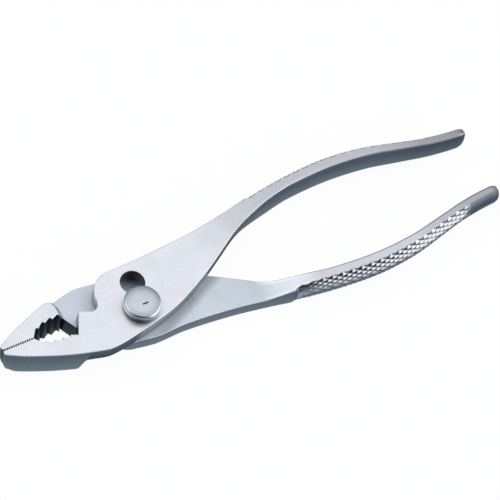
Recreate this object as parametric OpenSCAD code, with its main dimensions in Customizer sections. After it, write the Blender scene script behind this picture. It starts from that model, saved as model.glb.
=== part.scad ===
// Slip joint pliers: two lapped drop-forged levers on one pivot bolt.
// The slotted lever carries the lower jaw and the upper handle, and the pin lever the upper jaw and the
// lower handle. The two forgings are alike, one turned over about the centreline of the tool.
// +X runs from the pivot to the handles and +Z out of the face with the bolt head.
// The origin is on the pivot axis, in the plane of the back face.

/* [Overall] */
// Distance from the pivot axis to the end of the nose
jaw_reach = 45.3; // [43:0.1:50]
// Distance from the pivot axis to the ends of the handles
handle_reach = 119.8; // [105:0.2:140]
// Height of the slotted lever's handle above the centreline, at its widest
slot_handle_y = 19.9; // [17:0.1:23]
// Height of the slotted lever's handle above the centreline, at its end
slot_end_y = 12.4; // [10:0.1:16]
// Depth of the pin lever's handle below the centreline, at its widest
pin_handle_y = 19.4; // [17:0.1:23]
// Depth of the pin lever's handle below the centreline, at its end
pin_end_y = 11.7; // [10:0.1:16]
// Depth of the slotted lever's belly below the centreline
slot_belly = 12.6; // [12:0.1:14.5]
// Height of the pin lever's belly above the centreline
pin_belly = 11.9; // [11.4:0.1:14]
// Thickness of the jaws and of the handles
head_t = 9.9; // [8.6:0.1:12]
// Running gap between the two lapped plates
lap_gap = 0.1; // [0.06:0.01:0.2]

/* [Slip joint] */
// Distance of the pivot axis below the centreline of the tool
pivot_drop = 3.5; // [3:0.1:4.2]
// Distance between the two seats of the slot
slip_step = 8.5; // [8.2:0.1:9.4]
// Lean of the slot towards the handles, in degrees
slot_lean = 9; // [0:1:14]
// Diameter of the bolt's shank
pin_d = 7.6; // [7:0.1:8.4]
// Width across the two flats of the shank
flat_w = 5.4; // [4.6:0.1:6]
// Radial clearance of the shank in its holes, and of its flats in the neck of the slot
pin_fit = 0.05; // [0.02:0.01:0.09]
// Height of the slotted lever's plate above the centreline, beside the pivot
slot_rise = 11.1; // [10.8:0.1:13]
// Depth of the pin lever's plate below the centreline, beside the pivot
pin_rise = 11.5; // [11:0.1:13]
// Swell of the slotted lever's outer edge beside the pivot
slot_boss_h = 0.2; // [0:0.1:0.6]
// Swell of the pin lever's outer edge beside the pivot
pin_boss_h = 0.9; // [0.4:0.1:1.2]
// Distance from the pivot axis to the plate's edge above the notch
corner_reach = 11.4; // [10.5:0.1:12]
// Radius of the plate's corner above the notch
corner_r = 7.2; // [6:0.1:8]

/* [Bolt and nut] */
// Diameter of the bolt's head
bolt_head_d = 11.4; // [10:0.1:12]
// Height of the bolt's head at its centre
bolt_head_h = 3.4; // [2.8:0.1:4.2]
// Crown of the bolt's head
bolt_crown = 0.4; // [0.1:0.05:0.5]
// Chamfer round the bolt's head
bolt_chamfer = 0.3; // [0.2:0.1:0.9]
// Running gap under the bolt's head and above the nut
end_gap = 0.06; // [0.03:0.01:0.12]
// Diameter of the bolt's threaded tail
tail_d = 5; // [4:0.5:6]
// Diameter of the round nut
nut_d = 11; // [10:0.5:13]
// Thickness of the nut
nut_t = 1.9; // [1.5:0.1:2.2]
// Depth of the nut below the back face
nut_sink = 0.25; // [0.2:0.05:0.4]
// Radial clearance round the nut
nut_fit = 0.35; // [0.3:0.05:0.6]
// Width of the driver slot across the nut
nut_slot_w = 1.2; // [0.8:0.1:1.6]
// Depth of the driver slot
nut_slot_h = 0.7; // [0.4:0.1:0.9]

/* [Jaws] */
// Distance from the pivot axis to the front end of the pipe grip
grip_reach = 34.8; // [33:0.1:37]
// Depth of the pipe grip in each jaw
grip_depth = 4.4; // [3.8:0.1:5]
// Number of valleys between the coarse teeth of each jaw
coarse_teeth = 5; // [4:1:6]
// Height of the coarse teeth
coarse_h = 1; // [0.6:0.1:1.3]
// Number of fine teeth along the flat of each jaw
fine_teeth = 13; // [9:1:17]
// Height of the fine teeth
fine_h = 0.4; // [0.2:0.05:0.5]
// Gap between the closed jaws
jaw_gap = 0.12; // [0.08:0.02:0.3]
// Height of one jaw behind the rounded corner of its nose
nose_h = 1.9; // [1.8:0.1:2.4]
// Slope of the outer edge behind that corner, in degrees
nose_lean = 27; // [20:1:34]
// Radius of that corner
nose_r = 0.9; // [0.6:0.1:1.2]
// Set-back of the end of the nose at the back face, from grinding it round
nose_bow = 1.4; // [1:0.1:3.4]
// Chamfer on the biting corner of the nose
nose_chamfer = 0.5; // [0.3:0.1:0.5]
// Distance from the pivot axis to the widest point of the belly
belly_reach = 14; // [12:0.5:16]
// Distance from the pivot axis to the tip of the wire cutter
cutter_reach = 18.3; // [18:0.1:19.4]
// Height of the cutter's tip above the centreline
cutter_rise = 2.6; // [2:0.1:3]
// Lean of the cutting edge, in degrees
cutter_lean = 27; // [20:1:32]
// Radius of the notch behind the cutter
notch_r = 2.9; // [2.4:0.1:3.2]
// Distance from the pivot axis to the start of the lap step
step_reach = 24.2; // [23.6:0.1:25.6]
// Length of the sloping lap step
step_run = 2.6; // [2.2:0.1:3.2]

/* [Handles] */
// Distance from the pivot axis to where the belly would run out to the outer edge
neck_reach = 60; // [54:0.5:66]
// Distance from the pivot axis to where the plate begins to thicken
ramp_reach = 37; // [35:0.5:40]
// Length over which the plate thickens into the handle
ramp_run = 18; // [14:0.5:22]
// Distance from the pivot axis to where a handle has its full round section
section_reach = 68; // [58:1:80]
// Width of a handle
handle_w = 3.9; // [3:0.1:4.5]
// Width of a handle at its end
handle_end_w = 2.7; // [2.3:0.1:3.5]
// Loss of thickness towards the ends of the handles
handle_thin = 1.6; // [0:0.1:2.4]
// Length of the rounded end of a handle
handle_tip = 2.6; // [1.5:0.1:3.5]
// Bulge of the outer side of a handle
outer_bulge_h = 0.6; // [0.3:0.1:1]
// Width of the round shoulders between the outer side and the two faces
shoulder_w = 1.6; // [1:0.1:1.7]
// Bulge of the inner side of a handle, from its forging draft
inner_bulge_h = 0.4; // [0.2:0.1:0.6]
// Rounding of the inner edges of a handle
handle_edge = 0.5; // [0.3:0.1:0.7]
// Distance from the pivot axis to the start of the knurl
knurl_start = 47; // [44:0.5:56]
// Length of the plain end beyond the knurl
plain_end = 11; // [7:0.5:14]
// Length of the short slope up to the start of the knurl
knurl_lead = 0.8; // [0.4:0.1:2]
// Length of one diamond of the knurl
knurl_pitch = 2.7; // [2.2:0.1:3.6]
// Number of rows of diamonds
knurl_rows = 4; // [3:1:5]
// Depth of the knurl
knurl_h = 0.55; // [0.3:0.05:0.7]
// Height of the knurl's points above the plain side of a handle
knurl_rise = 0.2; // [0.1:0.05:0.3]

/* [Hidden] */
$fn = 64;

// Overrun of cuts past the faces that they open
over = 1;
// Points along the outer edge and along the under edge of the head
edge_points = 28;
under_points = 56;
// Rings along the lead-in to the knurl and along the plain end of a handle
lead_rings = 5;
end_rings = 4;
// Points along a sloping step, along a quarter turn of a corner and along the rounded end of a handle
step_points = 8;
arc_points = 10;
tip_rings = 5;

steel = [0.84, 0.85, 0.88];
bolt_steel = [0.78, 0.79, 0.80];

half_t = head_t / 2;
half_lap = lap_gap / 2;
half_gap = jaw_gap / 2;
hole_r = pin_d / 2 + pin_fit;
neck_w = flat_w + 2 * pin_fit;
slot_vector = [slip_step * sin(slot_lean), slip_step * cos(slot_lean)];
join_x = ramp_reach;
nut_top = nut_sink + nut_t;
seat_depth = nut_top + end_gap;

// Edges of a lever, about the centreline. Its outer edge is given as shares of the handle's reach: its
// start and its swell beside the pivot, then with shares of the rise from the plate to the widest point,
// and then with shares of the fall from there to the end.
edge_share = -0.04;
boss_share = 0.017;
rise_shares = [
    [0.095, 0.075], [0.22, 0.225], [0.333, 0.485], [0.435, 0.785], [0.535, 0.955], [0.635, 1]
];
fall_shares = [[0.735, 0.827], [0.82, 0.5], [0.895, 0.207], [0.945, 0.078], [1, 0]];
// Under edge of the jaw, from the nose to the belly, as shares of its length and depth
jaw_shares = [
    [0, 0], [0.137, 0.21], [0.27, 0.378], [0.445, 0.58], [0.62, 0.752], [0.795, 0.89]
];
// Under edge of the plate, from the belly to where it would meet the outer edge, as shares
belly_shares = [
    [0, 0], [0.16, 0.061], [0.326, 0.162], [0.508, 0.366], [0.618, 0.521], [0.739, 0.7],
    [0.836, 0.819], [0.892, 0.884], [1, 1]
];
// Share of the pipe grip over which its floor curves down to full depth
floor_share = 0.65;
// Place of the first valley behind the front end of the grip, as a share of the pitch
valley_share = 0.8;
// Place of a tooth's tip behind the valley before it, as a share of the pitch
tip_share = 0.22;
// Place of the foremost line across the end of the nose, as a share of the way from the middle to the front
crest_share = 0.75;
// Share of the round section that a handle takes on at the start of its knurl
swell_share = 0.7;
// Share of a handle's reach where it starts to narrow and to lose thickness
taper_share = 0.6;
// Width of the blend between the belly and a handle's inner edge, as a share of the handle's width
crotch_share = 0.95;
// Power of the curve across the outer side of a handle: the higher, the squarer
shoulder_power = 4;
// Size of the flat left at the end of a handle, as a share of its section
tip_flat_share = 0.55;

// Slope of a table of points at point i
function slope(t, i) =
    let (a = max(i - 1, 0), b = min(i + 1, len(t) - 1))
    (t[b].y - t[a].y) / (t[b].x - t[a].x);

// Number of the stretch of a table that holds x
function stretch(t, x) = max([for (i = [0 : len(t) - 2]) if (i == 0 || t[i].x <= x) i]);

// Height at x of the smooth curve through a table of points
function curve_y(t, x) =
    let (i = stretch(t, x), h = t[i + 1].x - t[i].x, u = (x - t[i].x) / h)
    t[i].y * (2 * pow(u, 3) - 3 * pow(u, 2) + 1) + h * slope(t, i) * (pow(u, 3) - 2 * pow(u, 2) + u)
    + t[i + 1].y * (3 * pow(u, 2) - 2 * pow(u, 3)) + h * slope(t, i + 1) * (pow(u, 3) - pow(u, 2));

// Smooth step from 0 to 1
function ease(u) = let (v = min(max(u, 0), 1)) v * v * (3 - 2 * v);

// Smaller of two heights, blended where they are closer than k
function smooth_min(a, b, k) = min(a, b) - pow(max(k - abs(a - b), 0), 2) / (4 * k);

function mix(a, b, u) = a + (b - a) * u;

function arc(centre, r, from, to) =
    let (count = ceil(arc_points * abs(to - from) / 90))
    [for (i = [0 : count]) let (turn = mix(from, to, i / count)) centre + r * [cos(turn), sin(turn)]];

// Rounded corner of the nose, and the place where the outer edge of the jaw runs out of it
nose_start = nose_r * (1 - sin(nose_lean)) - jaw_reach;
nose_centre = [nose_r - jaw_reach, nose_r * cos(nose_lean) - nose_h];

// Outer edge and under edge of a lever, with the numbers of the two tables
outer = 0;
under = 1;
function outer_table(rise, boss_h, handle_y, end_y) = concat(
    [[handle_reach * edge_share, rise], [handle_reach * boss_share, rise + boss_h]],
    [for (s = rise_shares) [handle_reach * s.x, mix(rise, handle_y, s.y)]],
    [for (s = fall_shares) [handle_reach * s.x, mix(end_y, handle_y, s.y)]]
);
function under_table(table, belly) = concat(
    [for (s = jaw_shares) [mix(nose_start, -belly_reach, s.x), -mix(nose_h, belly, s.y)]],
    [for (s = belly_shares)
        [mix(-belly_reach, neck_reach, s.x), mix(-belly, curve_y(table, neck_reach), s.y)]]
);
function lever_edges(belly, rise, boss_h, handle_y, end_y) =
    let (table = outer_table(rise, boss_h, handle_y, end_y))
    [table, under_table(table, belly)];

function taper(x) = ease((x / handle_reach - taper_share) / (1 - taper_share));
function outer_y(edges, x) = curve_y(edges[outer], x);
function bar_w(x) = mix(handle_w, handle_end_w, taper(x));
function under_y(edges, x) =
    let (bar = outer_y(edges, x) - bar_w(x))
    x >= neck_reach ? bar
    : x <= 0 ? curve_y(edges[under], x)
    : smooth_min(curve_y(edges[under], x), bar, handle_w * crotch_share);

// Cutting edge, from its tip above the centreline to its foot in the last valley of the pipe grip
cutter_tip = [-cutter_reach, cutter_rise];
cutter_foot = [-cutter_reach - (cutter_rise + grip_depth) * tan(cutter_lean), -grip_depth];

// Corner of the plate above the notch: a round corner, then a hollow that runs out to the cutter's tip
function corner_centre(rise) = [corner_r - corner_reach, rise - corner_r];
function notch_centre(rise) = [-corner_reach - notch_r, rise - corner_r];

// Floor of the pipe grip: a quarter ellipse that runs out to a straight stretch. Its teeth are raked,
// with their short faces towards the nose.
grip_pitches = coarse_teeth - 1 + valley_share;
coarse_pitch = (grip_reach + cutter_foot.x) / grip_pitches;
function grip_floor(u) = -grip_depth * sqrt(1 - pow(max(1 - u / floor_share, 0), 2));
function grip_point(i, lift) = [coarse_pitch * i - grip_reach, grip_floor(i / grip_pitches) + lift];
grip_points = [
    for (i = [0 : coarse_teeth - 2])
        each [grip_point(i + valley_share, 0), grip_point(i + valley_share + tip_share, coarse_h)]
];

fine_pitch = (jaw_reach - nose_chamfer - grip_reach) / fine_teeth;
fine_points = [
    for (i = [0 : fine_teeth - 1])
        each [
            [-grip_reach - fine_pitch * i, -half_gap],
            [-grip_reach - fine_pitch * (i + 1 / 2), -half_gap - fine_h]
        ]
];

// Outline of the head of a lever, as far as the cut where the handle begins
function head_outline(edges, rise) =
    let (corner = corner_centre(rise))
    concat(
        [for (i = [0 : edge_points - 1])
            let (x = mix(join_x, corner.x, i / edge_points))
            [x, outer_y(edges, x)]],
        arc(corner, corner_r, 90, 180),
        arc(notch_centre(rise), notch_r, 0, -90),
        [cutter_tip, cutter_foot],
        [for (i = [len(grip_points) - 1 : -1 : 0]) grip_points[i]],
        fine_points,
        [[nose_chamfer - jaw_reach, -half_gap], [-jaw_reach, -half_gap - nose_chamfer]],
        arc(nose_centre, nose_r, 180, 270 - nose_lean),
        [for (i = [1 : under_points])
            let (x = mix(nose_start, join_x, i / under_points))
            [x, under_y(edges, x)]]
    );

// Side view of the head: full thickness at the jaw, half thickness over the lap. The end of the nose is
// ground back from a line near the front of the tool, which is on the side that face gives, 1 or -1.
function nose_x(v, face) = nose_bow * pow((v - face * crest_share) / (1 + crest_share), 2) - jaw_reach;
function lap_profile(face) = concat(
    [[nose_x(1, face), half_t + over]],
    [for (i = [0 : step_points]) let (v = 1 - 2 * i / step_points) [nose_x(v, face), half_t * v]],
    [[nose_x(-1, face), -half_t - over], [-step_reach, -half_t - over]],
    [for (i = [0 : step_points])
        let (u = i / step_points)
        [step_run * u - step_reach, mix(-half_t, half_lap, ease(u))]],
    [[join_x, half_lap], [join_x, half_t + over]]
);

// Rings of points round a handle, from the cut at the end of the plate to the tip
wall_points = 2 * knurl_rows;
knurl_end = handle_reach - plain_end;
knurl_count = 2 * round((knurl_end - knurl_start) / knurl_pitch);
ring_places = concat(
    [for (i = [0 : lead_rings - 1]) mix(join_x, knurl_start - knurl_lead, i / (lead_rings - 1))],
    [for (i = [0 : knurl_count]) mix(knurl_start, knurl_end, i / knurl_count)],
    [for (i = [1 : end_rings]) mix(knurl_end, handle_reach - handle_tip, i / end_rings)]
);
knurl_first = lead_rings;
knurl_last = lead_rings + knurl_count;

function back_z(x) = mix(half_lap, -half_t, ease((x - ramp_reach) / ramp_run));
function thin(x) = handle_thin / 2 * taper(x);

// Share of the round section at x: on the inner side it comes gradually, on the outer side at the knurl
function inner_round(x) = ease((x - join_x) / (section_reach - join_x));
function outer_round(x) =
    ease((x - knurl_start + knurl_lead) / knurl_lead)
    * mix(swell_share, 1, ease((x - knurl_start) / (section_reach - knurl_start)));

// Ring with square corners, as the plate has, and ring of a forged bar with round shoulders and eased edges
function square_ring(o, u, f, b) = concat(
    [for (j = [0 : wall_points]) [o, mix(f, b, j / wall_points)]],
    [[mix(o, u, 1 / 3), b], [mix(o, u, 2 / 3), b]],
    [[u, b], [u, (f + b) / 2], [u, f]],
    [[mix(o, u, 2 / 3), f], [mix(o, u, 1 / 3), f]]
);
function bar_ring(o, u, f, b, shoulder) = concat(
    [for (j = [0 : wall_points])
        let (v = abs(2 * j / wall_points - 1))
        [o + outer_bulge_h - (outer_bulge_h + shoulder) * pow(v, shoulder_power),
            mix(f, b, j / wall_points)]],
    [[(o - shoulder + u + handle_edge) / 2, b], [u + handle_edge, b]],
    [[u, b + handle_edge], [u - inner_bulge_h, (f + b) / 2], [u, f - handle_edge]],
    [[u + handle_edge, f], [(o - shoulder + u + handle_edge) / 2, f]]
);

// Height of the knurl at ring i, wall point j: peaks and valleys alternate like a chessboard
function knurl(i, j) =
    i > knurl_first && i < knurl_last && j > 0 && j < wall_points
    ? knurl_rise - ((i + j) % 2 == 0 ? 0 : knurl_h)
    : 0;

function handle_ring(edges, i) =
    let (
        x = ring_places[i],
        o = outer_y(edges, x),
        u = under_y(edges, x),
        f = half_t - thin(x),
        b = back_z(x) + thin(x),
        plain = square_ring(o, u, f, b),
        bar = bar_ring(o, u, f, b, shoulder_w * bar_w(x) / handle_w)
    )
    [for (j = [0 : len(bar) - 1])
        let (
            on_outer = j <= wall_points,
            p = mix(plain[j], bar[j], on_outer ? outer_round(x) : inner_round(x)),
            lift = on_outer ? knurl(i, j) : 0
        )
        [x, p.x + lift, p.y]];

// Rounded end: the last ring drawn in towards its centre
function tip_ring(edges, k) =
    let (
        ring = handle_ring(edges, len(ring_places) - 1),
        x = ring[0].x,
        centre = [x, outer_y(edges, x) - bar_w(x) / 2, 0],
        turn = 90 * k / tip_rings,
        size = mix(tip_flat_share, 1, cos(turn))
    )
    [for (p = ring) centre + size * (p - centre) + [handle_tip * sin(turn), 0, 0]];

module handle(edges) {
    rings = concat(
        [for (i = [0 : len(ring_places) - 1]) handle_ring(edges, i)],
        [for (k = [1 : tip_rings]) tip_ring(edges, k)]
    );
    size = len(rings[0]);
    last = len(rings) - 1;
    start_centre = [join_x, (outer_y(edges, join_x) + under_y(edges, join_x)) / 2, half_t / 2];
    end_x = rings[last][0].x;
    end_centre = [end_x, outer_y(edges, end_x) - bar_w(end_x) / 2, 0];
    sides = [
        for (i = [0 : last - 1])
            for (j = [0 : size - 1])
                let (a = i * size + j, b = i * size + (j + 1) % size, c = b + size, d = a + size)
                each (i + j) % 2 == 0 ? [[a, b, d], [b, c, d]] : [[a, b, c], [a, c, d]]
    ];
    centre = len(rings) * size;
    start_cap = [for (j = [0 : size - 1]) [(j + 1) % size, j, centre]];
    end_cap = [for (j = [0 : size - 1]) [last * size + j, last * size + (j + 1) % size, centre + 1]];
    polyhedron([for (ring = rings) each ring, start_centre, end_centre], concat(sides, start_cap, end_cap));
}

module head(edges, rise, handle_y, face) {
    intersection() {
        translate([0, 0, -half_t])
            linear_extrude(head_t)
                polygon(head_outline(edges, rise));
        translate([0, handle_y, 0])
            rotate([90, 0, 0])
                linear_extrude(2 * handle_y)
                    polygon(lap_profile(face));
    }
}

// Forging of a lever, about the centreline and the middle of the thickness, with the front of the tool
// on the side that face gives
module lever_blank(belly, rise, boss_h, handle_y, end_y, face) {
    edges = lever_edges(belly, rise, boss_h, handle_y, end_y);
    head(edges, rise, handle_y, face);
    handle(edges);
}

module at_centreline() {
    translate([0, pivot_drop, half_t])
        children();
}

// Lever with the two-seat slot, in front
module slotted_lever() {
    color(steel)
        difference() {
            at_centreline()
                lever_blank(slot_belly, slot_rise, slot_boss_h, slot_handle_y, slot_end_y, 1);
            translate([0, 0, half_t - over]) {
                cylinder(r = hole_r, h = head_t);
                translate(slot_vector)
                    cylinder(r = hole_r, h = head_t);
                rotate([0, 0, -slot_lean])
                    translate([-neck_w / 2, 0, 0])
                        cube([neck_w, slip_step, head_t]);
            }
        }
}

// Lever that holds the bolt, behind: a like forging turned over about the centreline
module pin_lever() {
    color(steel)
        difference() {
            at_centreline()
                rotate([180, 0, 0])
                    lever_blank(pin_belly, pin_rise, pin_boss_h, pin_handle_y, pin_end_y, -1);
            translate([0, 0, -over])
                cylinder(r = hole_r, h = head_t);
            translate([0, 0, -over])
                cylinder(r = nut_d / 2 + nut_fit, h = seat_depth + over);
        }
}

// Shouldered bolt: crowned head, shank with two flats through the slot, round shank and threaded tail,
// all on one core of the tail's diameter
module pivot_bolt() {
    head_r = bolt_head_d / 2;
    rim_h = bolt_head_h - bolt_crown;
    crown_r = head_r - bolt_chamfer;
    color(bolt_steel) {
        translate([0, 0, head_t + end_gap])
            rotate_extrude()
                polygon(concat(
                    [[0, 0], [head_r, 0], [head_r, rim_h - bolt_chamfer]],
                    [for (i = [0 : step_points])
                        let (r = crown_r * (1 - i / step_points))
                        [r, rim_h + bolt_crown * (1 - pow(r / crown_r, 2))]]
                ));
        intersection() {
            translate([0, 0, half_t])
                cylinder(d = pin_d, h = half_t + end_gap);
            rotate([0, 0, -slot_lean])
                translate([-flat_w / 2, -pin_d, half_t])
                    cube([flat_w, 2 * pin_d, half_t + end_gap]);
        }
        translate([0, 0, nut_top])
            cylinder(d = pin_d, h = half_t - nut_top);
        translate([0, 0, nut_sink])
            cylinder(d = tail_d, h = head_t + end_gap);
    }
}

// Round nut with a driver slot, sunk in the back of the pin lever against the bolt's shoulder
module pivot_nut() {
    color(bolt_steel)
        translate([0, 0, nut_sink])
            difference() {
                cylinder(d = nut_d, h = nut_t);
                translate([0, 0, -over])
                    cylinder(d = tail_d, h = nut_t + 2 * over);
                translate([-nut_d, -nut_slot_w / 2, -over])
                    cube([2 * nut_d, nut_slot_w, nut_slot_h + over]);
            }
}

pin_lever();
pivot_bolt();
pivot_nut();
slotted_lever();
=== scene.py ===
import bmesh
import bpy
import math
from mathutils import Matrix, Vector
from mathutils.geometry import delaunay_2d_cdt


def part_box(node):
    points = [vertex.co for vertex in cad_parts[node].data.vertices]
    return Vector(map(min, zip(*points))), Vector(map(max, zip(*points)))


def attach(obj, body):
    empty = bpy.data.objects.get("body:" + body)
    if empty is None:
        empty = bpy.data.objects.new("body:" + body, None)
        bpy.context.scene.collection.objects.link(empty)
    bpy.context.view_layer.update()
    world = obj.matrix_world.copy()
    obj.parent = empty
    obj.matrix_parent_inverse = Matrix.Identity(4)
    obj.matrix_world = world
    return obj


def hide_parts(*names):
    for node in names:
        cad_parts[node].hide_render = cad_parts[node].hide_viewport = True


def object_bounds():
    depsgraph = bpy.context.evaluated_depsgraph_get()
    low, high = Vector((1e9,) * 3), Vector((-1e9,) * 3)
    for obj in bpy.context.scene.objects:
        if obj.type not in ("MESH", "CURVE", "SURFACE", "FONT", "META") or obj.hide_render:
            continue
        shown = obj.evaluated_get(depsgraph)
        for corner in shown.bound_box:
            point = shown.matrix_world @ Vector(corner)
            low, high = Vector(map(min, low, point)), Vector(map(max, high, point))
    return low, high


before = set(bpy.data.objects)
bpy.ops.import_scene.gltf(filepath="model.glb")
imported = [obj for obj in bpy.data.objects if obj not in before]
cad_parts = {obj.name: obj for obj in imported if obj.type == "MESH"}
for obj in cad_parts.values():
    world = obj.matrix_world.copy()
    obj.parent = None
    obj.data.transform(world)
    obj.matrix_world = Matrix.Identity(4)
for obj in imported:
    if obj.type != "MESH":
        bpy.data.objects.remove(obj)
cad_low, cad_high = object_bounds()


# Pin lever: the rear one of two like forgings, with the upper jaw and the lower handle.
# Drop-forged steel, ground on its faces, left as forged on its flanks and satin plated all over.
# It lies behind the slotted lever, and its counterbored hole holds the pivot bolt and the nut.

mm = 0.001
slot_low, slot_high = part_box("slotted_lever")
nut_low, nut_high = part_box("pivot_nut")

head_t = slot_high.z
half_t = head_t / 2
jaw_reach = -slot_low.x
handle_reach = slot_high.x
centre_y = 3.5 * mm
half_lap = 0.05 * mm
edge_r = 0.2 * mm

pin_belly = 11.9 * mm
pin_rise = 11.5 * mm
pin_boss_h = 0.9 * mm
pin_handle_y = 19.4 * mm
pin_end_y = 11.7 * mm
corner_reach = 11.4 * mm
corner_r = 7.2 * mm
neck_reach = 60 * mm
join_x = 37 * mm
ramp_run = 18 * mm
belly_reach = 14 * mm

grip_reach = 34.8 * mm
grip_depth = 4.4 * mm
coarse_teeth = 5
coarse_h = 1 * mm
fine_teeth = 13
fine_h = 0.4 * mm
half_gap = 0.03 * mm
nose_h = 1.9 * mm
nose_lean = math.radians(27)
nose_r = 0.9 * mm
nose_bow = 1.4 * mm
nose_fade = 4 * mm
nose_chamfer = 0.5 * mm
cutter_reach = 18.3 * mm
cutter_rise = 2.6 * mm
cutter_lean = math.radians(27)
notch_r = 2.9 * mm
step_reach = 24.2 * mm
step_run = 2.6 * mm
step_corner = 2.4 * mm

section_reach = 68 * mm
handle_w = 3.9 * mm
handle_end_w = 2.7 * mm
handle_thin = 1.6 * mm
handle_tip = 2.6 * mm
outer_bulge = 0.8 * mm
shoulder_w = 0.93 * mm
inner_bulge = 0.4 * mm
inner_edge_r = 0.5 * mm
knurl_start = 47 * mm
plain_end = 11 * mm
knurl_lead = 0.8 * mm
knurl_pitch = 3.3 * mm
knurl_h = 0.5 * mm
knurl_rise = 0.05 * mm
scored_run = 3.2 * mm
score_h = 0.12 * mm

pin_d = 7.6 * mm
pin_fit = 0.05 * mm
hole_r = pin_d / 2 + pin_fit
nut_fit = 0.35 * mm
end_gap = 0.06 * mm

# Edges, teeth and handle of a lever, as shares of the sizes above
edge_share = -0.04
boss_share = 0.017
rise_shares = [
    (0.095, 0.075), (0.22, 0.225), (0.333, 0.485), (0.435, 0.785), (0.535, 0.955), (0.635, 1),
]
fall_shares = [(0.735, 0.827), (0.82, 0.5), (0.895, 0.207), (0.945, 0.078), (1, 0)]
jaw_shares = [(0, 0), (0.137, 0.21), (0.27, 0.378), (0.445, 0.58), (0.62, 0.752), (0.795, 0.89)]
belly_shares = [
    (0, 0), (0.16, 0.061), (0.326, 0.162), (0.508, 0.366), (0.618, 0.521), (0.739, 0.7),
    (0.836, 0.819), (0.892, 0.884), (1, 1),
]
floor_share = 0.65
valley_share = 0.8
tip_share = 0.22
fine_flat_share = 0.4
crest_share = 0.75
swell_share = 0.7
taper_share = 0.6
pin_crotch_share = 0.95
tip_flat_share = 0.55
shoulder_power = 2
row_power = 0.95


def mix(a, b, u):
    return a + (b - a) * u


def ease(u):
    v = min(max(u, 0), 1)
    return v * v * (3 - 2 * v)


def curve_y(table, x):
    """Height at x of the smooth curve through a table of points."""
    i = max(k for k in range(len(table) - 1) if k == 0 or table[k][0] <= x)

    def slope(k):
        a, b = table[max(k - 1, 0)], table[min(k + 1, len(table) - 1)]
        return (b[1] - a[1]) / (b[0] - a[0])

    (x0, y0), (x1, y1) = table[i], table[i + 1]
    h = x1 - x0
    u = (x - x0) / h
    return (y0 * (2 * u**3 - 3 * u**2 + 1) + h * slope(i) * (u**3 - 2 * u**2 + u)
            + y1 * (3 * u**2 - 2 * u**3) + h * slope(i + 1) * (u**3 - u**2))


nose_start = nose_r * (1 - math.sin(nose_lean)) - jaw_reach
nose_centre = Vector((nose_r - jaw_reach, nose_r * math.cos(nose_lean) - nose_h))
cutter_run = (cutter_rise + grip_depth) * math.tan(cutter_lean)
cutter_foot = Vector((-cutter_reach - cutter_run, -grip_depth))
grip_pitches = coarse_teeth - 1 + valley_share


def taper(x):
    return ease((x / handle_reach - taper_share) / (1 - taper_share))


def bar_w(x):
    return mix(handle_w, handle_end_w, taper(x))


def lever_edges(belly, rise, boss_h, handle_y, end_y, crotch_share):
    """Tables of the outer edge and of the under edge of a lever, and how full its crotch is."""
    outer = [(handle_reach * edge_share, rise), (handle_reach * boss_share, rise + boss_h)]
    outer += [(handle_reach * a, mix(rise, handle_y, b)) for a, b in rise_shares]
    outer += [(handle_reach * a, mix(end_y, handle_y, b)) for a, b in fall_shares]
    neck_y = curve_y(outer, neck_reach)
    under = [(mix(nose_start, -belly_reach, a), -mix(nose_h, belly, b)) for a, b in jaw_shares]
    under += [(mix(-belly_reach, neck_reach, a), mix(-belly, neck_y, b)) for a, b in belly_shares]
    return outer, under, handle_w * crotch_share


def outer_y(edges, x):
    return curve_y(edges[0], x)


def under_y(edges, x):
    bar = outer_y(edges, x) - bar_w(x)
    if x >= neck_reach:
        return bar
    edge = curve_y(edges[1], x)
    if x <= 0:
        return edge
    k = edges[2]
    return min(edge, bar) - max(k - abs(edge - bar), 0)**2 / (4 * k)


def back_z(x):
    """Back of a lever: full thickness at the jaw, half over the lap, full again at the handle."""
    if x < join_x:
        return mix(-half_t, half_lap, ease((x + step_reach) / step_run))
    return mix(half_lap, -half_t, ease((x - join_x) / ramp_run))


def arc(centre, r, start, end, count):
    turns = [mix(start, end, i / count) for i in range(count + 1)]
    return [centre + r * Vector((math.cos(t), math.sin(t))) for t in turns]


def grip_point(i, lift):
    pitch = (grip_reach + cutter_foot.x) / grip_pitches
    depth = grip_depth * math.sqrt(1 - max(1 - i / grip_pitches / floor_share, 0)**2)
    return Vector((pitch * i - grip_reach, lift - depth))


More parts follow.
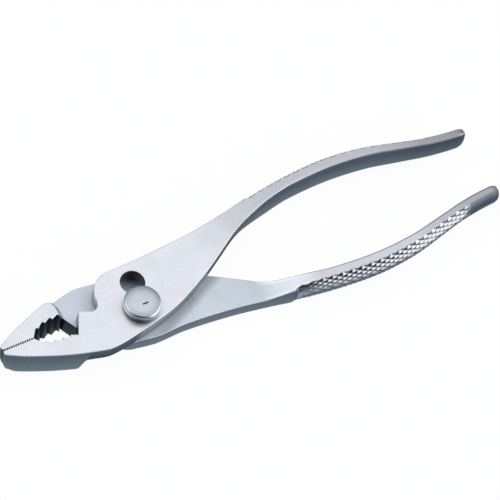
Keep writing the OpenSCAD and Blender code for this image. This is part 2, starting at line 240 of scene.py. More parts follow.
def head_outline(edges, rise, draft, slant):
    """Plan of the head, anticlockwise from the outer edge at the cut. Each point comes with how
    sunk it is, which sharpens its edges and sets how much painted shade darkens its wall,
    and with how far the wall leans there from back to front."""
    edge_points, corner_points, notch_points, nose_points, under_points = 90, 24, 14, 8, 170
    # How sunk the notch, the cutter, the teeth and the nose chamfer are: painted shade darkens
    # their walls
    notch_sunk, cutter_sunk, foot_sunk = 0.1, 0.8, 1
    valley_sunk, flank_sunk, tooth_sunk, fine_sunk, chamfer_sunk = 1, 0.95, 0.7, 0.78, 0.5
    valley_back, valley_front = 0.2, 0.4
    corner = Vector((corner_r - corner_reach, rise - corner_r))
    notch = Vector((-corner_reach - notch_r, rise - corner_r))
    cutter_tip = Vector((-cutter_reach, cutter_rise))
    along = (cutter_foot - cutter_tip).normalized()
    drafted = draft * Vector((along.y, -along.x))
    points = []

    def add(new, sunk, lean=Vector((0, 0))):
        points.extend((p, sunk, lean) for p in new)

    xs = [mix(join_x, corner.x, i / edge_points) for i in range(edge_points)]
    add([Vector((x, outer_y(edges, x))) for x in xs], 0)
    add(arc(corner, corner_r, math.pi / 2, math.pi, corner_points), 0)
    add(arc(notch, notch_r, 0, -math.pi / 2, notch_points), notch_sunk)
    add([cutter_tip], cutter_sunk, drafted)
    add([cutter_foot], foot_sunk, drafted)
    teeth = []
    for i in range(coarse_teeth - 1):
        before = Vector((-grip_reach, 0))
        if i:
            before = grip_point(i + valley_share + tip_share - 1, coarse_h)
        valley = grip_point(i + valley_share, 0)
        tip = grip_point(i + valley_share + tip_share, coarse_h)
        a, b = valley.lerp(before, valley_back), valley.lerp(tip, valley_front)
        middle = (a + b + 2 * valley) / 4
        teeth += [(a, valley_sunk), (middle, valley_sunk), (b, flank_sunk), (tip, tooth_sunk)]
    for p, sunk in reversed(teeth):
        add([p], sunk, slant)
    pitch = (jaw_reach - nose_chamfer - grip_reach) / fine_teeth
    for i in range(fine_teeth):
        for share, depth in ((0, 0), (fine_flat_share, 0), (fine_flat_share / 2 + 0.5, fine_h)):
            add([Vector((-grip_reach - pitch * (i + share), -half_gap - depth))], fine_sunk)
    add([Vector((nose_chamfer - jaw_reach, -half_gap)),
         Vector((-jaw_reach, -half_gap - nose_chamfer))], chamfer_sunk)
    add(arc(nose_centre, nose_r, math.pi, 1.5 * math.pi - nose_lean, nose_points), 0)
    xs = [mix(nose_start, join_x, i / under_points) for i in range(1, under_points + 1)]
    add([Vector((x, under_y(edges, x))) for x in xs], 0)
    return points


def cross_lines(points, lines):
    """Gives an outline a point where it crosses each line x = at + lean * y, and lists those
    points. A crossing nearer to a point of the outline than the line's third value takes that
    point."""
    crossed = [[] for _ in lines]
    out = []
    for (p, sunk, lean_p), (q, _, lean_q) in zip(points, points[1:] + points[-1:]):
        first = len(out)
        out.append((p, sunk, lean_p))
        found = []
        for n, (at, lean, _) in enumerate(lines):
            a, b = p.x - at - lean * p.y, q.x - at - lean * q.y
            if a * b < 0:
                found.append((p.lerp(q, a / (a - b)), n, lean_p.lerp(lean_q, a / (a - b))))
        found.sort(key=lambda item: (item[0] - p).length)
        at_end = []
        for c, n, c_lean in found:
            near = lines[n][2]
            if (c - p).length < near:
                crossed[n].append(first)
            elif (c - q).length < near:
                at_end.append(n)
            else:
                crossed[n].append(len(out))
                out.append((c, sunk, c_lean))
        for n in at_end:
            crossed[n].append(len(out))
    return out, crossed


def offset_normals(loop):
    """Outward mitre direction at each point of an open outline that has its solid on the left."""
    mitre_limit = 0.35
    normals = [Vector((0, 1))]
    for before, p, after in zip(loop, loop[1:], loop[2:]):
        d1, d2 = (p - before).normalized(), (after - p).normalized()
        n1, n2 = Vector((d1.y, -d1.x)), Vector((d2.y, -d2.x))
        normals.append((n1 + n2) / max(1 + n1.dot(n2), mitre_limit))
    return normals + [Vector((0, -1))]


round_steps = 3
wall_steps = 18
ring_size = 2 * round_steps + wall_steps + 1


def wall_profile(front, back, r):
    """Insets and heights down a wall with both its edges rounded."""
    turns = [math.pi / 2 * k / round_steps for k in range(round_steps + 1)]
    corner = [(r * (1 - math.sin(t)), r * (1 - math.cos(t))) for t in turns]
    top = [(inset, front - drop) for inset, drop in corner]
    wall = [(0, mix(front - r, back + r, j / wall_steps)) for j in range(1, wall_steps)]
    foot = [(inset, back + drop) for inset, drop in reversed(corner)]
    return top + wall + foot


def section(edges, x):
    """Points round a handle at x: outer side, back, inner side and front."""
    face_steps = 4
    f = half_t - handle_thin / 2 * taper(x)
    b = back_z(x) + handle_thin / 2 * taper(x)
    mid, half = (f + b) / 2, (f - b) / 2
    o, u = outer_y(edges, x), under_y(edges, x)
    even_part = ease((x - knurl_start + 3 * knurl_lead) / (2 * knurl_lead))
    outer_round = (ease((x - knurl_start + knurl_lead) / knurl_lead)
                   * mix(swell_share, 1, ease((x - knurl_start) / (section_reach - knurl_start))))
    inner_round = ease((x - join_x) / (section_reach - join_x))
    shoulder = shoulder_w * bar_w(x) / handle_w
    inner_r = mix(edge_r, inner_edge_r, inner_round)

    def inset(v, r):
        over = max(abs(v) * half - half + r, 0)
        return r - math.sqrt(max(r * r - over * over, 0))

    outer, inner = [], []
    for j, (_, z) in enumerate(wall_profile(f, b, edge_r)):
        t = 1 - 2 * j / (ring_size - 1)
        even = math.copysign(abs(t)**row_power, t)
        v = mix((z - mid) / half, even, even_part)
        bar = o + outer_bulge - (outer_bulge + shoulder) * abs(v)**shoulder_power
        outer.append(Vector((x, mix(o - inset(v, edge_r), bar, outer_round), mid + half * v)))
    for _, z in reversed(wall_profile(f, b, inner_r)):
        v = (z - mid) / half
        bulge = inner_bulge * inner_round * (1 - v * v)
        inner.append(Vector((x, u + inset(v, inner_r) - bulge, z)))
    back = [outer[-1].lerp(inner[0], i / face_steps) for i in range(1, face_steps)]
    front = [inner[-1].lerp(outer[0], i / face_steps) for i in range(1, face_steps)]
    return outer, back, inner, front


join_near = 0.0001 * mm
sharp_angle = math.radians(33)


def finished(name, mesh, materials, flat_index=None):
    """Object of a closed mesh, with points that coincide joined, and smooth between its sharp edges
    except on the faces of the flat material."""
    bmesh.ops.remove_doubles(mesh, verts=mesh.verts, dist=join_near)
    bmesh.ops.recalc_face_normals(mesh, faces=mesh.faces)
    data = bpy.data.meshes.new(name)
    mesh.to_mesh(data)
    mesh.free()
    smooth = [p.material_index != flat_index for p in data.polygons]
    data.polygons.foreach_set("use_smooth", smooth)
    data.set_sharp_from_angle(angle=sharp_angle)
    for material in materials:
        data.materials.append(material)
    made = bpy.data.objects.new(name, data)
    bpy.context.collection.objects.link(made)
    made.modifiers.new("flat_faces", "WEIGHTED_NORMAL").keep_sharp = True
    return made


def forging(name, edges, rise, crest, turn, hole, creases=(), draft=0, slant=Vector((0, 0)),
            corner=0, foot_shade=0.0):
    """Object of a lever. crest is the side of the foremost line across the nose, turn places the
    lever, hole gives the rings of its hole from front to back, creases are marks across its lap,
    draft and slant are the leans of the cutter and of the coarse teeth, corner rounds the lap step
    in plan, and foot_shade is the painted shade that rises up the wall from the lap."""
    foot_shade_steps = 20
    sharper_share = 0.6
    steps = 10
    step_near, bend_near, crease_near, lap_near = 0.24 * mm, 0.1 * mm, 0.01 * mm, 0.001 * mm
    bend_shares = (0.15, 0.35, 0.6, 1)
    step_ats = [step_run * i / steps - step_reach for i in range(steps + 1)]
    step_lines = [(at, 0, step_near) for at in step_ats]
    if corner:
        step_lines += [(at - corner, 0, bend_near) for at in step_ats]
    crease_lines = [(at, lean, crease_near) for at, lean, _ in creases]
    outline = head_outline(edges, rise, draft, slant)
    points, crossed = cross_lines(outline, step_lines + crease_lines)
    sinks = [0] * len(points)
    for found, (_, _, depth) in zip(crossed[len(step_lines):], creases):
        for i in found:
            sinks[i] = depth
    normals = offset_normals([p for p, _, _ in points])

    mesh = bmesh.new()
    edge_layer = mesh.verts.layers.float.new("edge")
    sunk_layer = mesh.verts.layers.float.new("sunk")
    peak_layer = mesh.verts.layers.float.new("peak")
    lap_layer = mesh.verts.layers.float.new("lap")
    ground, flank, knurled = 0, 1, 2

    def vertex(p, edge=0.0, sunk=0.0, peak=0.0, lap=0.0):
        v = mesh.verts.new(turn @ p)
        v[edge_layer], v[sunk_layer], v[peak_layer], v[lap_layer] = edge, sunk, peak, lap
        return v

    def step_way(p):
        """How far a point lies past the foot of the lap step, which bends towards the nose at the
        under edge."""
        near = max(1 - (p.y - under_y(edges, p.x)) / corner, 0) if corner else 0
        return p.x + step_reach + corner * near**2

    def lap_z(p):
        return mix(-half_t, half_lap, ease(step_way(p) / step_run)) if p.x < 0 else back_z(p.x)

    def face(verts, material):
        if len(set(verts)) > 2:
            mesh.faces.new(verts).material_index = material

    # Rim, wall and back rim of the head
    rings = []
    for (p, sunk, lean), n, sink in zip(points, normals, sinks):
        ring = []
        r = edge_r * (1 - sharper_share * sunk)
        foot = lap_z(p) + sink
        for k, (inset, z) in enumerate(wall_profile(half_t, foot, r)):
            q = p - n * inset + lean * (z - foot) / (half_t - foot)
            near_tip = 1 - ease((q.x + jaw_reach) / nose_fade)
            bow = (z / half_t - crest * crest_share) / (1 + crest_share)
            x = q.x + nose_bow * bow**2 * near_tip
            rim = min(k, ring_size - 1 - k)
            on_lap = foot > half_lap - lap_near
            # Painted shade rising up the wall from the lap, where the wall stands on it
            foot_shaded = 0.0
            if on_lap and k < ring_size - 1:
                foot_shaded = foot_shade * max(1 - (ring_size - 2 - k) / foot_shade_steps, 0)
            edge = 1.0 if rim <= round_steps and not foot_shaded else 0.0
            deep = max(sunk if rim > 1 else 0, foot_shaded)
            lap = 1.0 if on_lap and k == ring_size - 1 else 0.0
            ring.append(vertex(Vector((x, q.y, z)), edge, deep, lap=lap))
        rings.append(ring)
    for a, b in zip(rings, rings[1:]):
        for k in range(ring_size - 1):
            rim = min(k, ring_size - 2 - k)
            face((a[k], a[k + 1], b[k + 1], b[k]), ground if rim < round_steps else flank)

    # Handle, from the cut to its rounded end. A diamond of the knurl takes four rings and points.
    diamond, half_diamond = 4, 2
    neck_steps, lead_steps, scored_steps, plain_steps, tip_steps = 12, 4, 12, 6, 9
    run_in, run_out, score_every = 4, 3, 3
    # groove_sunk and score_sunk darken the knurl's grooves and the scored lines with painted shade
    peak_flat, groove_sunk, score_sunk, inner_rub = 0.85, 0.8, 0.6, 0.3
    lap_fade = 1.2 * ramp_run
    knurl_end = handle_reach - plain_end
    knurl_steps = diamond * round((knurl_end - knurl_start) / knurl_pitch)
    tip_x = handle_reach - handle_tip
    lead_x = knurl_start - knurl_lead
    scored_end = knurl_end + scored_run
    places = [mix(join_x, lead_x, i / neck_steps) for i in range(1, neck_steps + 1)]
    places += [mix(lead_x, knurl_start, i / lead_steps) for i in range(1, lead_steps)]
    first = len(places)
    places += [mix(knurl_start, knurl_end, i / knurl_steps) for i in range(knurl_steps + 1)]
    last = len(places) - 1
    places += [mix(knurl_end, scored_end, i / scored_steps) for i in range(1, scored_steps + 1)]
    scored_last = len(places) - 1
    places += [mix(scored_end, tip_x, i / plain_steps) for i in range(1, plain_steps + 1)]
    corners = [(0, 0), (diamond, 0), (0, diamond), (diamond, diamond)]
    peaks = corners + [(half_diamond, half_diamond)]

    def lifts(i, j):
        """Height of the pattern at ring i and point j of the outer side, how near it is to a peak,
        and how much painted shade darkens it."""
        if first < i < last:
            a, b = (i - first) % diamond, j % diamond
            near = max(1 - (abs(a - da) + abs(b - db)) / half_diamond for da, db in peaks)
            near = max(near, 0)
            fade = ease((last - i) / run_out)
            deep = 0
            if 0 < j < ring_size - 1:
                deep = groove_sunk * fade * ease((i - first) / run_in) * (1 - near)**2
            return fade * (knurl_rise - knurl_h * (1 - min(near, peak_flat))), fade * near, deep
        scored = (i - last + j // score_every) % score_every == 0
        if last < i < scored_last and 0 < j < ring_size / 2 and scored:
            return -score_h, 0, score_sunk
        return 0, 0, 0

    def handle_ring(i):
        outer, back, inner, front = section(edges, places[i])
        ring = []
        for j, p in enumerate(outer):
            lift, near, deep = lifts(i, j)
            way = outer[j + 1] - outer[j - 1] if 0 < j < ring_size - 1 else Vector((0, 0, -1))
            ring.append(vertex(p + lift * Vector((0, -way.z, way.y)).normalized(), 0.0, deep, near))
        lapped = 1 - ease((places[i] - join_x) / lap_fade)
        ring += [vertex(p, lap=lapped) for p in back]
        ring += [vertex(p, inner_rub if min(k, ring_size - 1 - k) <= round_steps else 0.0)
                 for k, p in enumerate(inner)]
        ring += [vertex(p) for p in front]
        return ring

    _, back, _, front = section(edges, join_x)
    start_back = [vertex(p, lap=1.0) for p in back]
    start_front = [vertex(p) for p in front]
    handle = [rings[0] + start_back + rings[-1][::-1] + start_front]
    handle += [handle_ring(i) for i in range(len(places))]
    flip = turn.inverted()
    end = [flip @ v.co for v in handle[-1]]
    centre = Vector((tip_x, outer_y(edges, tip_x) - bar_w(tip_x) / 2, 0))
    for k in range(1, tip_steps + 1):
        t = math.pi / 2 * k / tip_steps
        size = mix(tip_flat_share, 1, math.cos(t))
        shift = Vector((handle_tip * math.sin(t), 0, 0))
        handle.append([vertex(centre + size * (p - centre) + shift) for p in end])
    count = len(handle[0])
    inner_from = ring_size + len(back)
    inner_to = inner_from + ring_size - 1
    for i, (a, b) in enumerate(zip(handle, handle[1:])):
        for j in range(count):
            k = (j + 1) % count
            on_outer = j < ring_size - 1
            on_inner = inner_from <= j < inner_to
            rim = min(j - inner_from, inner_to - 1 - j) if on_inner else min(j, ring_size - 2 - j)
            square = on_outer and i < neck_steps
            in_knurl = on_outer and first < i <= last
            if in_knurl:
                low = b[j][peak_layer] + a[k][peak_layer] < a[j][peak_layer] + b[k][peak_layer]
                halves = ((a[j], b[j], a[k]), (b[j], b[k], a[k])) if low else (
                    (a[j], b[j], b[k]), (a[j], b[k], a[k]))
                face(halves[0], knurled)
                face(halves[1], knurled)
                continue
            on_rim = rim < round_steps and (square or on_inner)
            material = flank if (on_outer or on_inner) and not on_rim else ground
            face((a[j], b[j], b[k], a[k]), material)
    tip = vertex(centre + Vector((handle_tip, 0, 0)))
    for j in range(count):
        face((handle[-1][j], tip, handle[-1][(j + 1) % count]), flank)

    # Hole, and the two faces that it opens through
    holes = []
    for loop_points, z, edge, sunk in hole:
        lap = 1.0 if z <= half_lap else 0.0
        holes.append([vertex(Vector((p.x, p.y, z)), edge, sunk, lap=lap) for p in loop_points])
    for a, b in zip(holes, holes[1:]):
        for i in range(len(a)):
            k = (i + 1) % len(a)
            face((a[i], b[i], b[k], a[k]), flank)

    cap_near = 1e-6

    def cap(rim, opening, inner, cuts, material_at):
        """Faces over a rim in plan, with an opening, more points and cuts inside it."""
        verts = rim + opening + inner
        flat = [flip @ v.co for v in verts]
        flat = [Vector((p.x, p.y)) / mm for p in flat]
        edges = [(i, (i + 1) % len(rim)) for i in range(len(rim))]
        edges += [(len(rim) + i, len(rim) + (i + 1) % len(opening)) for i in range(len(opening))]
        made = delaunay_2d_cdt(flat, edges + cuts, [], 0, cap_near)
        borders = [flat[:len(rim)], flat[len(rim):len(rim) + len(opening)]]

        def inside(p):
            odd = False
            for border in borders:
                for s, e in zip(border, border[1:] + border[:1]):
                    if (s.y > p.y) != (e.y > p.y):
                        odd ^= p.x < s.x + (e.x - s.x) * (p.y - s.y) / (e.y - s.y)
            return odd

        for corners in made[2]:
            middle = sum((made[0][c] for c in corners), Vector((0, 0))) / len(corners)
            if inside(middle):
                face([verts[made[3][c][0]] for c in corners], material_at(middle * mm))

    def back_material(p):
        return flank if p.x < 0 and 0 < step_way(p) < step_run else ground

    front_rim = [ring[0] for ring in rings] + start_front
    back_rim = [ring[-1] for ring in rings] + start_back[::-1]
    cap(front_rim, holes[0], [], [], lambda p: ground)
    inner, cuts = [], []
    for n, at in enumerate(step_ats):
        line = crossed[n]
        if corner:
            middle_y = -grip_depth - corner / 2
            line = [i for i in crossed[len(step_ats) + n] if points[i][0].y < middle_y]
            for share in bend_shares:
                p = Vector((at - corner * (1 - share)**2, 0))
                p.y = under_y(edges, p.x) + corner * share
                line.append(len(back_rim) + len(holes[-1]) + len(inner))
                at_top = 1.0 if n == steps else 0.0
                inner.append(vertex(Vector((p.x, p.y, lap_z(p))), lap=at_top))
            line += [i for i in crossed[n] if points[i][0].y > middle_y]
        cuts += zip(line, line[1:])
    cuts += [(i[0], i[-1]) for i in crossed[len(step_lines):]]
    cap(back_rim, holes[-1], inner, cuts, back_material)
    return finished(name, mesh, lever_steels, flat_index=knurled)


def circle(r, centre, count=72):
    return [centre + r * Vector((math.cos(t), math.sin(t)))
            for t in (-math.tau * i / count for i in range(count))]


def new_group(name, inputs, outputs):
    group = bpy.data.node_groups.new(name, "ShaderNodeTree")
    for socket, value in inputs.items():
        made = group.interface.new_socket(socket, in_out="INPUT", socket_type="NodeSocketFloat")
        made.default_value = value
    for socket in outputs:
        group.interface.new_socket(socket, in_out="OUTPUT", socket_type="NodeSocketFloat")
    return group, group.nodes.new("NodeGroupInput"), group.nodes.new("NodeGroupOutput")


def node(tree, kind, inputs, **settings):
    """New node with its settings. An input is linked where it is a socket, and set where it is a
    value."""
    made = tree.nodes.new(kind)
    for key, value in settings.items():
        setattr(made, key, value)
    for key, value in inputs.items():
        if isinstance(value, bpy.types.NodeSocket):
            tree.links.new(value, made.inputs[key])
        else:
            made.inputs[key].default_value = value
    return made


def put_out(group, outlet, **values):
    for socket, value in values.items():
        group.links.new(value, outlet.inputs[socket])


def object_place(tree):
    return node(tree, "ShaderNodeTexCoord", {}).outputs["Object"]


def painted(tree, name):
    return node(tree, "ShaderNodeAttribute", {}, attribute_name=name).outputs["Fac"]


def noise(tree, scale, detail, rough=0.5):
    spots = {"Vector": object_place(tree), "Scale": scale, "Detail": detail, "Roughness": rough}
    return node(tree, "ShaderNodeTexNoise", spots).outputs["Fac"]


def combine(tree, operation, a, b=0.0):
    return node(tree, "ShaderNodeMath", {0: a, 1: b}, operation=operation).outputs["Value"]


def vectors(tree, operation, a, b=(0, 0, 0)):
    made = node(tree, "ShaderNodeVectorMath", {0: a, 1: b}, operation=operation)
    return made.outputs["Value" if operation in ("LENGTH", "DOT_PRODUCT") else "Vector"]


def span(tree, value, start, end, low=0.0, high=1.0, curve="LINEAR"):
    """Value that goes from low to high while another one goes from start to end."""
    ends = {"Value": value, "From Min": start, "From Max": end, "To Min": low, "To Max": high}
    return node(tree, "ShaderNodeMapRange", ends, interpolation_type=curve).outputs["Result"]


def layer(tree, share, under, over, blend="MIX"):
    colours = {"Factor": share, "A": under, "B": over}
    made = node(tree, "ShaderNodeMix", colours, data_type="RGBA", blend_type=blend)
    return made.outputs["Result"]


def from_axis(tree, place):
    """Distance of a place from the upright axis."""
    return vectors(tree, "LENGTH", vectors(tree, "MULTIPLY", place, (1, 1, 0)))


# Grain of the plating: a fine speckle over a faint cloud
plated_grain, inlet, outlet = new_group(
    "plated_grain", {"Fine": 2200.0, "Cloud": 150.0}, ("Speckle", "Cloud", "Height"))
speckle = noise(plated_grain, inlet.outputs["Fine"], detail=3.0, rough=0.65)
cloud = noise(plated_grain, inlet.outputs["Cloud"], detail=4.0, rough=0.55)
put_out(plated_grain, outlet, Speckle=speckle, Cloud=cloud,
        Height=combine(plated_grain, "ADD", speckle, cloud))

# Wear and painted shade: edges and points rubbed bright in patches, and painted shade in what
# lies deep
patch_range = (0.3, 0.6)
patch_shares = (0.45, 1.0)
rub_and_shade, inlet, outlet = new_group("rub_and_shade", {"Breakup": 900.0}, ("Rub", "Sunk"))
patchy = noise(rub_and_shade, inlet.outputs["Breakup"], detail=3.0)
patch = span(rub_and_shade, patchy, *patch_range, *patch_shares)
high = combine(rub_and_shade, "MAXIMUM", painted(rub_and_shade, "edge"), painted(rub_and_shade, "peak"))
put_out(rub_and_shade, outlet, Rub=combine(rub_and_shade, "MULTIPLY", high, patch),
        Sunk=painted(rub_and_shade, "sunk"))

# Lap: how far a ground face belongs to it, and the painted shade on it, under the free seat of the
# slot and along the line where the front lever's edge lies
free_seat = (1.3 * mm, 8.4 * mm, 0)
shade_line_point = (2.2 * mm, -9.4 * mm, 0)
shade_line_across = (0.433, -0.901, 0)
shade_line_w = 3 * mm
shade_line_share = 0.6
lap_and_shade, inlet, outlet = new_group(
    "lap_and_shade", {"Inner": 4.5 * mm, "Outer": 6.2 * mm}, ("Lap", "Oil"))
place = object_place(lap_and_shade)
off_seat = from_axis(lap_and_shade, vectors(lap_and_shade, "SUBTRACT", place, free_seat))
seat_shade = span(lap_and_shade, off_seat, inlet.outputs["Inner"], inlet.outputs["Outer"], 1.0, 0.0,
                curve="SMOOTHSTEP")
from_point = vectors(lap_and_shade, "SUBTRACT", place, shade_line_point)
aside = vectors(lap_and_shade, "DOT_PRODUCT", from_point, shade_line_across)
off_line = combine(lap_and_shade, "ABSOLUTE", aside)
line_shade = span(lap_and_shade, off_line, 0.0, shade_line_w, shade_line_share, 0.0, curve="SMOOTHSTEP")
lap = painted(lap_and_shade, "lap")
lap_shading = combine(lap_and_shade, "MAXIMUM", seat_shade, line_shade)
put_out(lap_and_shade, outlet, Lap=lap, Oil=combine(lap_and_shade, "MULTIPLY", lap_shading, lap))

# Way along the tool, for the painted shade of the steels: from the pivot to the necks of the
# handles, near their ends, and up to the upper handle
end_range = (80 * mm, 117 * mm)
upper_range = (4 * mm, 14 * mm)
shade_along_tool, inlet, outlet = new_group(
    "shade_along_tool", {"Start": 15 * mm, "End": 60 * mm}, ("Way", "Tip", "Upper"))
parts = node(shade_along_tool, "ShaderNodeSeparateXYZ", {"Vector": object_place(shade_along_tool)}).outputs
way = span(shade_along_tool, parts["X"], inlet.outputs["Start"], inlet.outputs["End"], curve="SMOOTHSTEP")
end_way = span(shade_along_tool, parts["X"], *end_range, curve="SMOOTHSTEP")
above = span(shade_along_tool, parts["Y"], *upper_range, curve="SMOOTHSTEP")
put_out(shade_along_tool, outlet, Way=way, Tip=end_way, Upper=combine(shade_along_tool, "MULTIPLY", above, way))


def new_metal(name):
    material = bpy.data.materials.new(name)
    material.use_nodes = True
    shader = material.node_tree.nodes["Principled BSDF"]
    shader.inputs["Metallic"].default_value = 1.0
    return material, material.node_tree, shader


def finish_metal(tree, shader, colour, roughness, height, bump, depth):
    relief = node(tree, "ShaderNodeBump", {"Height": height, "Strength": bump, "Distance": depth})
    tree.links.new(colour, shader.inputs["Base Color"])
    tree.links.new(roughness, shader.inputs["Roughness"])
    tree.links.new(relief.outputs["Normal"], shader.inputs["Normal"])


def effect(tree, group):
    return node(tree, "ShaderNodeGroup", {}, node_tree=group).outputs


grain_range = (0.3, 0.7)
mottle_range = (0.35, 0.65)
mottle_tones = (0.90, 1.08)
speckle_share = 0.65
plating_depth = 0.02 * mm


def steel(name, body, bright, dark, rough, rough_spread, bump, neck_shade=1.0, tip_shade=1.0,
          upper_shade=1.0, lapped=None):
    """Plated steel: colours of its body, of its rubbed edges and of the painted shade in its
    recesses, its roughness and bump, its painted shade at the necks, at the ends of the handles
    and on the upper handle, and the colour, the added roughness and the painted shade of the face
    that the other lever rubs on."""
    material, tree, shader = new_metal(name)
    grain = effect(tree, plated_grain)
    wear_and_shade = effect(tree, rub_and_shade)
    along = effect(tree, shade_along_tool)
    mottle = node(tree, "ShaderNodeMix",
                  {"Factor": speckle_share, "A": grain["Cloud"], "B": grain["Speckle"]},
                  data_type="FLOAT").outputs["Result"]
    # Painted shade: darker towards the necks, near the ends of the handles and on the upper handle
    tone = span(tree, along["Way"], 0.0, 1.0, 1.0, neck_shade)
    for way, end in (("Upper", upper_shade), ("Tip", tip_shade)):
        tone = combine(tree, "MULTIPLY", tone, span(tree, along[way], 0.0, 1.0, 1.0, end))
    tone = combine(tree, "MULTIPLY", span(tree, mottle, *mottle_range, *mottle_tones), tone)
    roughness = span(tree, grain["Speckle"], *grain_range,
                     rough - rough_spread, rough + rough_spread)
    colour, deep, rub = (*body, 1), wear_and_shade["Sunk"], wear_and_shade["Rub"]
    if lapped:
        worn_colour, more_rough, shade_share = lapped
        worn = effect(tree, lap_and_shade)
        colour = layer(tree, worn["Lap"], colour, (*worn_colour, 1))
        rub = combine(tree, "MULTIPLY", rub, combine(tree, "SUBTRACT", 1.0, worn["Lap"]))
        lap_rough = combine(tree, "MULTIPLY", worn["Lap"], more_rough)
        roughness = combine(tree, "ADD", roughness, lap_rough)
        deep = combine(tree, "MAXIMUM", deep, combine(tree, "MULTIPLY", worn["Oil"], shade_share))
    colour = layer(tree, rub, colour, (*bright, 1))
    colour = layer(tree, 1.0, colour, tone, blend="MULTIPLY")
    # Painted shade: the dark colour laid into recesses, on the lap's shaded places and up the wall
    # feet
    colour = layer(tree, deep, colour, (*dark, 1))
    finish_metal(tree, shader, colour, roughness, grain["Height"], bump, plating_depth)
    return material


lap_colour = (0.72, 0.765, 0.815)
lap_more_rough = 0.06
# lap_shade: how strongly the painted shade darkens the lap
lap_shade = 0.6
lever_steels = [
    steel("ground_steel", body=(0.84, 0.85, 0.885), bright=(0.88, 0.89, 0.92),
          dark=(0.04, 0.05, 0.06), rough=0.42, rough_spread=0.07, bump=0.2,
          neck_shade=0.88, tip_shade=0.64, upper_shade=0.82,
          lapped=(lap_colour, lap_more_rough, lap_shade)),
    steel("forged_steel", body=(0.50, 0.53, 0.57), bright=(0.80, 0.81, 0.84),
          dark=(0.035, 0.037, 0.04), rough=0.34, rough_spread=0.09, bump=0.5,
          neck_shade=0.85, tip_shade=0.78),
    steel("knurled_steel", body=(0.76, 0.78, 0.82), bright=(0.93, 0.94, 0.95),
          dark=(0.10, 0.11, 0.12), rough=0.2, rough_spread=0.05, bump=0.1),
]

turned_over = Matrix.Translation((0, centre_y, half_t)) @ Matrix.Rotation(math.pi, 4, "X")
bore_centre = Vector((0, centre_y))
seat_depth = nut_high.z + end_gap
counterbore_r = (nut_high.x - nut_low.x) / 2 + nut_fit

# Rings of the bore and the counterbore: radius, height, how rubbed and how sunk; how sunk a ring
# is sets the painted shade down the bore
pin_hole = [(circle(r, bore_centre), z, edge, sunk) for r, z, edge, sunk in (
    (counterbore_r + edge_r, half_t, 1.0, 0.0),
    (counterbore_r, half_t - edge_r, 1.0, 0.0),
    (counterbore_r, half_t - seat_depth, 0.0, 0.6),
    (hole_r, half_t - seat_depth, 0.0, 0.8),
    (hole_r, half_lap + edge_r, 0.0, 1.0),
    (hole_r + edge_r, half_lap, 1.0, 0.0),
)]

# Two shallow marks across the lap, where the grinding of the plate ends
mark_w = 0.36 * mm
mark_h = 0.08 * mm
mark_lines = ((16.9 * mm, -0.214), (18.04 * mm, -0.166))
marks = []
for at, lean in mark_lines:
    marks += [(at - mark_w / 2, lean, 0), (at, lean, mark_h), (at + mark_w / 2, lean, 0)]

cutter_draft = 1 * mm
tooth_slant = Vector((0.7 * mm, 0.5 * mm))
pin_edges = lever_edges(
    pin_belly, pin_rise, pin_boss_h, pin_handle_y, pin_end_y, pin_crotch_share)
pin_lever = forging("pin_lever_forging", pin_edges, pin_rise, -1, turned_over, pin_hole, marks,
                    draft=cutter_draft, slant=tooth_slant, corner=step_corner)
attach(pin_lever, "rear_half")
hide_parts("pin_lever")


# Slotted lever: the front forging, with the lower jaw and the upper handle, made and finished as
# the rear one. Its slot has two round seats joined by a neck, and the bolt's shank slides along it
# from one seat to the other to set how wide the jaws open.

slot_belly = 12.6 * mm
slot_rise = 11.1 * mm
slot_boss_h = 0.2 * mm
slot_handle_y = 19.9 * mm
slot_end_y = 12.4 * mm
slip_step = 8.5 * mm
slot_lean = math.radians(9)
flat_w = 5.4 * mm
neck_half = flat_w / 2 + pin_fit
slot_crotch_share = 1.3
slot_round = 0.08 * mm
slot_sunk = 0.62
seat_points = 48
# Painted shade up the foot of the slotted lever's wall where it stands on the lap
slot_foot_shade = 0.85

as_forged = Matrix.Translation((0, centre_y, half_t))
first_seat = Vector((0, -centre_y))
second_seat = first_seat + slip_step * Vector((math.sin(slot_lean), math.cos(slot_lean)))


def slot_loop(widen):
    r = hole_r + widen
    opening = math.asin((neck_half + widen) / r)
    up = math.pi / 2 - slot_lean
    lower = arc(first_seat, r, up - opening, up + opening - math.tau, seat_points)
    down = up + math.pi
    upper = arc(second_seat, r, down - opening, down + opening - math.tau, seat_points)
    return lower + upper


# The slot's wall below its rims is darkened with painted shade, as slot_sunk sets
slot_hole = []
for k, (inset, z) in enumerate(wall_profile(half_t, half_lap, slot_round)):
    on_rim = min(k, ring_size - 1 - k) <= 1
    slot_hole.append((slot_loop(inset), z, float(on_rim), 0.0 if on_rim else slot_sunk))

slot_edges = lever_edges(
    slot_belly, slot_rise, slot_boss_h, slot_handle_y, slot_end_y, slot_crotch_share)
slotted_lever = forging("slotted_lever_forging", slot_edges, slot_rise, 1, as_forged, slot_hole,
                        foot_shade=slot_foot_shade)
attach(slotted_lever, "front_half")
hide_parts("slotted_lever")


# Pivot bolt: turned from bar, with a large crowned head, a shank milled to two flats where it runs
# in the slot, a round shank in the pin lever and a tail for the nut. Its head is fine turned on top
# and polished round its side.

bolt_low, bolt_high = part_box("pivot_bolt")
bolt_r = (bolt_high.x - bolt_low.x) / 2
head_foot = head_t + end_gap
bolt_crown = 0.4 * mm
bolt_chamfer = 0.3 * mm
bolt_round = 0.08 * mm
mark_centre = Vector((0.43 * mm, -0.93 * mm))
mark_length = 1.9 * mm
mark_width = 0.45 * mm
mark_sink = 0.1 * mm
tail_r = 2.5 * mm
tail_chamfer = 0.4 * mm
crown_r = bolt_r - bolt_chamfer
rim_z = bolt_high.z - bolt_crown
crown_power = 2.6
side_shares = (0.72, 0.5, 0.3)
